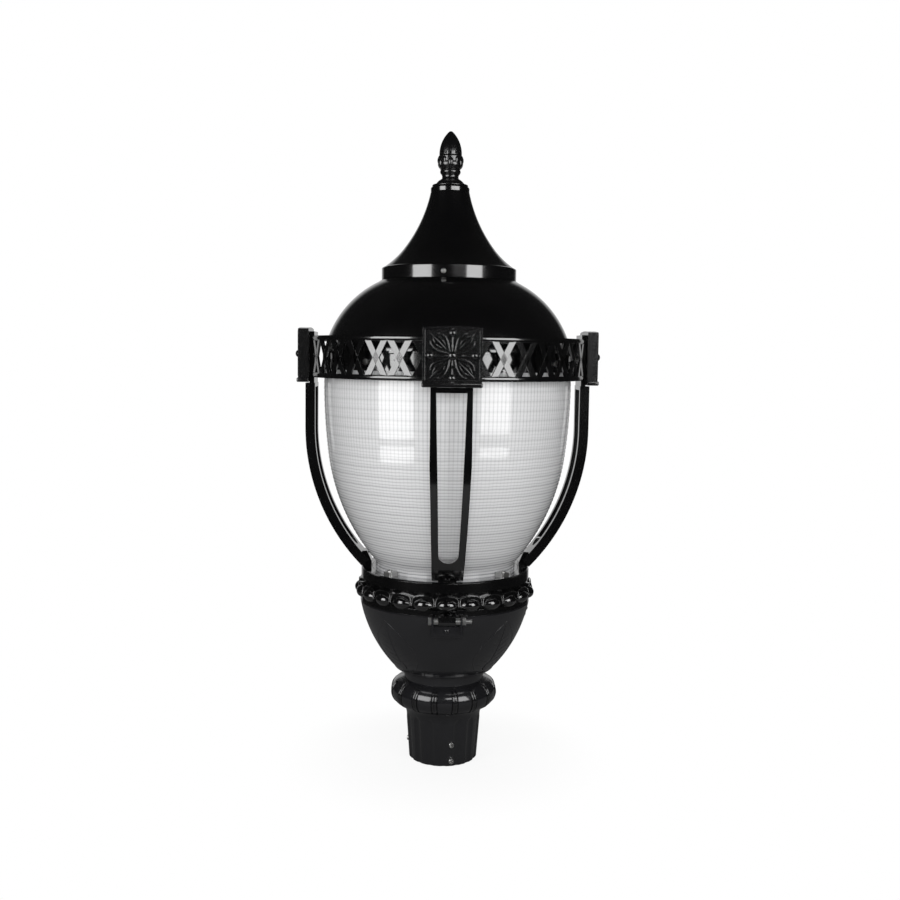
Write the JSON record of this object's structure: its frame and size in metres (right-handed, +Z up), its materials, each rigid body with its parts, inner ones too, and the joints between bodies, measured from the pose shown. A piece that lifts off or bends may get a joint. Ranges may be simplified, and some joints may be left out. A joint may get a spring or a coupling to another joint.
{
  "type": "post top lantern",
  "caption": "Cast post top lantern: fluted fitter, bowl, hinged prismatic globe in an arm cage with a lattice band, domed cover, flared roof and finial.",
  "frame": {"origin": "centre of the post socket's mouth, at the fitter's lower end", "axes": "+Z up, -Y towards the hinged front arm, +X to the right seen from the front"},
  "size_m": [0.4558, 0.4558, 0.945],
  "materials": {
    "black_coat": "gloss black powder coat on cast aluminium",
    "black_casting": "satin black powder coat over relief",
    "clear_refractor": "clear, with fine prisms moulded in",
    "clear_lens": "clear and smooth",
    "seal_rubber": "matte black seal",
    "white_enamel": "gloss white enamel",
    "bare_aluminium": "plain milled",
    "driver_case": "light grey enamel",
    "black_plastic": "matte moulded",
    "cream_plastic": "matte moulded",
    "white_board": "white solder mask",
    "led_phosphor": "yellow encapsulant",
    "stainless": "bright stainless"
  },
  "bodies": {
    "housing": {"post_fitter": "black_coat", "housing_bowl": "black_coat", "bowl_bolts": "stainless", "bowl_gasket": "seal_rubber", "gear_tray": "bare_aluminium", "gear_tray_screws": "stainless", "led_driver": "driver_case", "driver_screws": "stainless", "surge_protector": "black_plastic", "terminal_block": "cream_plastic", "hinge_leaf": "black_coat", "hinge_leaf_screw": "stainless", "hinge_bolt": "stainless", "hinge_nut": "stainless", "hinge_bushes": "stainless"},
    "globe_head": {"arm_bolts": "black_coat", "cage_arm_back": "black_coat", "cage_arm_front": "black_coat", "cage_arm_left": "black_coat", "cage_arm_right": "black_coat", "cap_ring_screws": "stainless", "dome": "black_coat", "dome_clips": "black_coat", "finial": "black_coat", "finial_nut": "stainless", "finial_stud": "stainless", "globe_cap_ring": "black_coat", "globe_clip_screws": "stainless", "globe_clips": "black_coat", "globe_gasket": "seal_rubber", "globe_ring": "black_coat", "heat_sink": "bare_aluminium", "heat_sink_screws": "stainless", "inner_reflector": "white_enamel", "lattice_band_back_left": "black_coat", "lattice_band_back_right": "black_coat", "lattice_band_front_left": "black_coat", "lattice_band_front_right": "black_coat", "led_board": "white_board", "led_chips": "led_phosphor", "led_lens": "clear_lens", "medallion_back": "black_casting", "medallion_front": "black_casting", "medallion_left": "black_casting", "medallion_right": "black_casting", "medallion_screws": "stainless", "refractor_globe": "clear_refractor", "roof_cone": "black_coat", "roof_screws": "stainless", "top_gasket": "seal_rubber"},
    "latch": {"latch_handle": "black_coat", "latch_cam": "stainless", "latch_nut": "stainless", "latch_screw": "stainless"},
    "set_screw_front_lower": {"set_screw_front_lower": "stainless"},
    "set_screw_front_upper": {"set_screw_front_upper": "stainless"},
    "set_screw_left_lower": {"set_screw_left_lower": "stainless"},
    "set_screw_left_upper": {"set_screw_left_upper": "stainless"},
    "set_screw_right_lower": {"set_screw_right_lower": "stainless"},
    "set_screw_right_upper": {"set_screw_right_upper": "stainless"}
  },
  "joints": [
    {"name": "globe_hinge", "type": "hinge", "parent": "housing", "child": "globe_head", "pos_m": [0, -0.136, 0.2435], "axis": [1, 0, 0], "range_deg": [0, 95]},
    {"name": "latch_turn", "type": "hinge", "parent": "housing", "child": "latch", "pos_m": [0.12276, 0.01725, 0.228], "axis": [0.9721, 0.1366, -0.1908], "range_deg": [-90, 0]},
    {"name": "set_screw_front_lower_drive", "type": "slide", "parent": "housing", "child": "set_screw_front_lower", "axis": [0.2079, -0.9781, 0], "range_m": [-0.006, 0.004]},
    {"name": "set_screw_front_upper_drive", "type": "slide", "parent": "housing", "child": "set_screw_front_upper", "axis": [0.2079, -0.9781, 0], "range_m": [-0.006, 0.004]},
    {"name": "set_screw_left_lower_drive", "type": "slide", "parent": "housing", "child": "set_screw_left_lower", "axis": [-0.9511, 0.309, 0], "range_m": [-0.006, 0.004]},
    {"name": "set_screw_left_upper_drive", "type": "slide", "parent": "housing", "child": "set_screw_left_upper", "axis": [-0.9511, 0.309, 0], "range_m": [-0.006, 0.004]},
    {"name": "set_screw_right_lower_drive", "type": "slide", "parent": "housing", "child": "set_screw_right_lower", "axis": [0.7431, 0.6691, 0], "range_m": [-0.006, 0.004]},
    {"name": "set_screw_right_upper_drive", "type": "slide", "parent": "housing", "child": "set_screw_right_upper", "axis": [0.7431, 0.6691, 0], "range_m": [-0.006, 0.004]}
  ]
}
